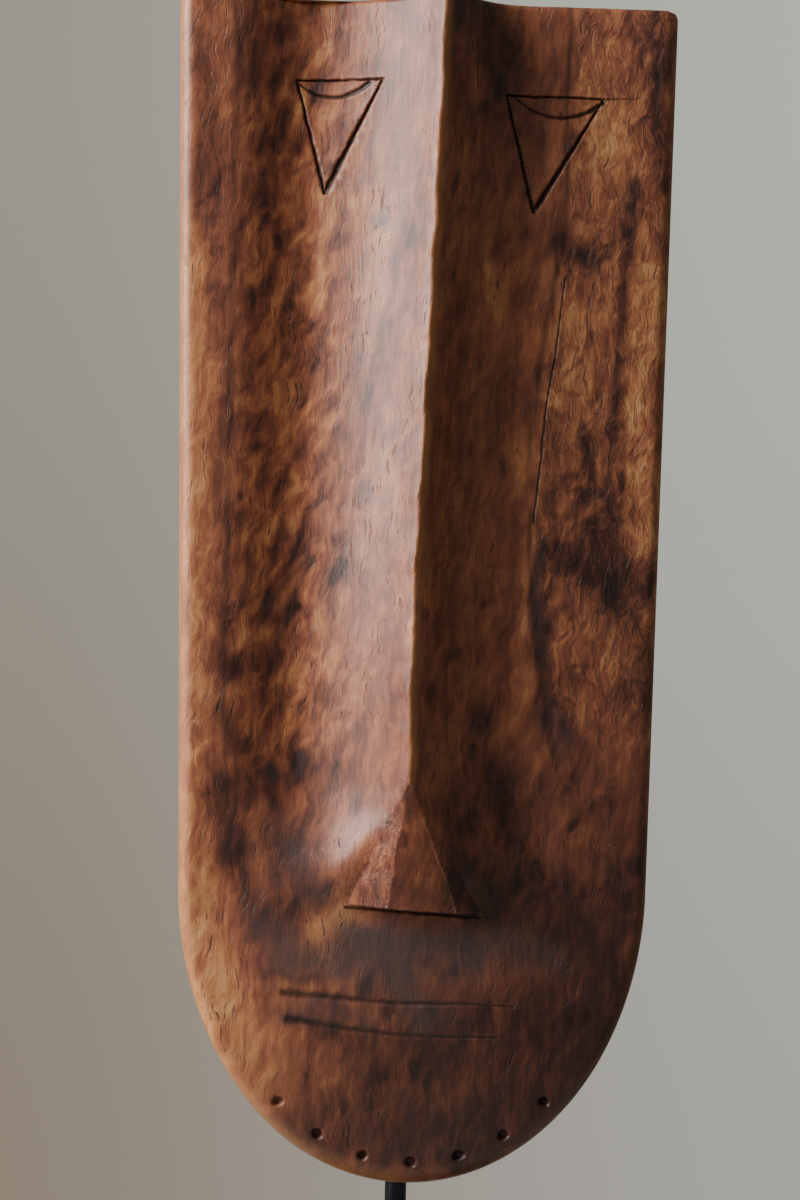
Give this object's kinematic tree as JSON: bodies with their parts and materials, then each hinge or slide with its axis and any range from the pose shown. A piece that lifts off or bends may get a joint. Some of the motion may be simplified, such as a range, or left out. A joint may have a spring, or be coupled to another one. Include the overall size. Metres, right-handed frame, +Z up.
{
  "type": "carved wooden mask on stand",
  "caption": "Long carved hardwood face mask with a sharp nose ridge and incised eyes, hung on a swivelling steel post that stands in a weighted base.",
  "frame": {"origin": "on the table, at the centre of the stand's footprint, level with the undersides of the feet", "axes": "+Z up, the mask faces -Y, +X on the right of a viewer who faces the mask"},
  "size_m": [0.2126, 0.15, 0.6098],
  "materials": {
    "carved_wood": "burnished and waxed, semi-gloss",
    "blackened_steel": "blackened, satin",
    "painted_steel": "black powder coat, fine texture",
    "brass": "dull, lightly tarnished",
    "zinc_steel": "zinc plated",
    "rubber": "matte",
    "felt": "dense wool felt"
  },
  "bodies": {
    "stand": {"base_plate": "painted_steel", "front_left_foot": "rubber", "front_right_foot": "rubber", "rear_left_foot": "rubber", "rear_right_foot": "rubber", "post_socket": "blackened_steel", "socket_washer": "zinc_steel", "socket_nut": "zinc_steel"},
    "clamp": {"clamp_screw": "brass"},
    "swivelling_post": {"post": "blackened_steel"},
    "hung_mask": {"mask": "carved_wood", "sleeve": "blackened_steel", "sleeve_plug": "brass", "lower_strap": "blackened_steel", "upper_strap": "blackened_steel", "lower_left_pad": "felt", "lower_right_pad": "felt", "upper_left_pad": "felt", "upper_right_pad": "felt", "lower_left_screw": "brass", "lower_right_screw": "brass", "upper_left_screw": "brass", "upper_right_screw": "brass"}
  },
  "joints": [
    {"name": "post_swivel", "type": "hinge", "parent": "stand", "child": "swivelling_post", "pos_m": [0, 0.035, 0.0511], "axis": [0, 0, 1], "continuous": true},
    {"name": "mask_lift", "type": "slide", "parent": "swivelling_post", "child": "hung_mask", "axis": [0, 0, 1], "range_m": [0, 0.24]},
    {"name": "clamp_turn", "type": "hinge", "parent": "stand", "child": "clamp", "pos_m": [0, 0.035, 0.0401], "axis": [0, 1, 0], "range_deg": [0, 1080]}
  ]
}
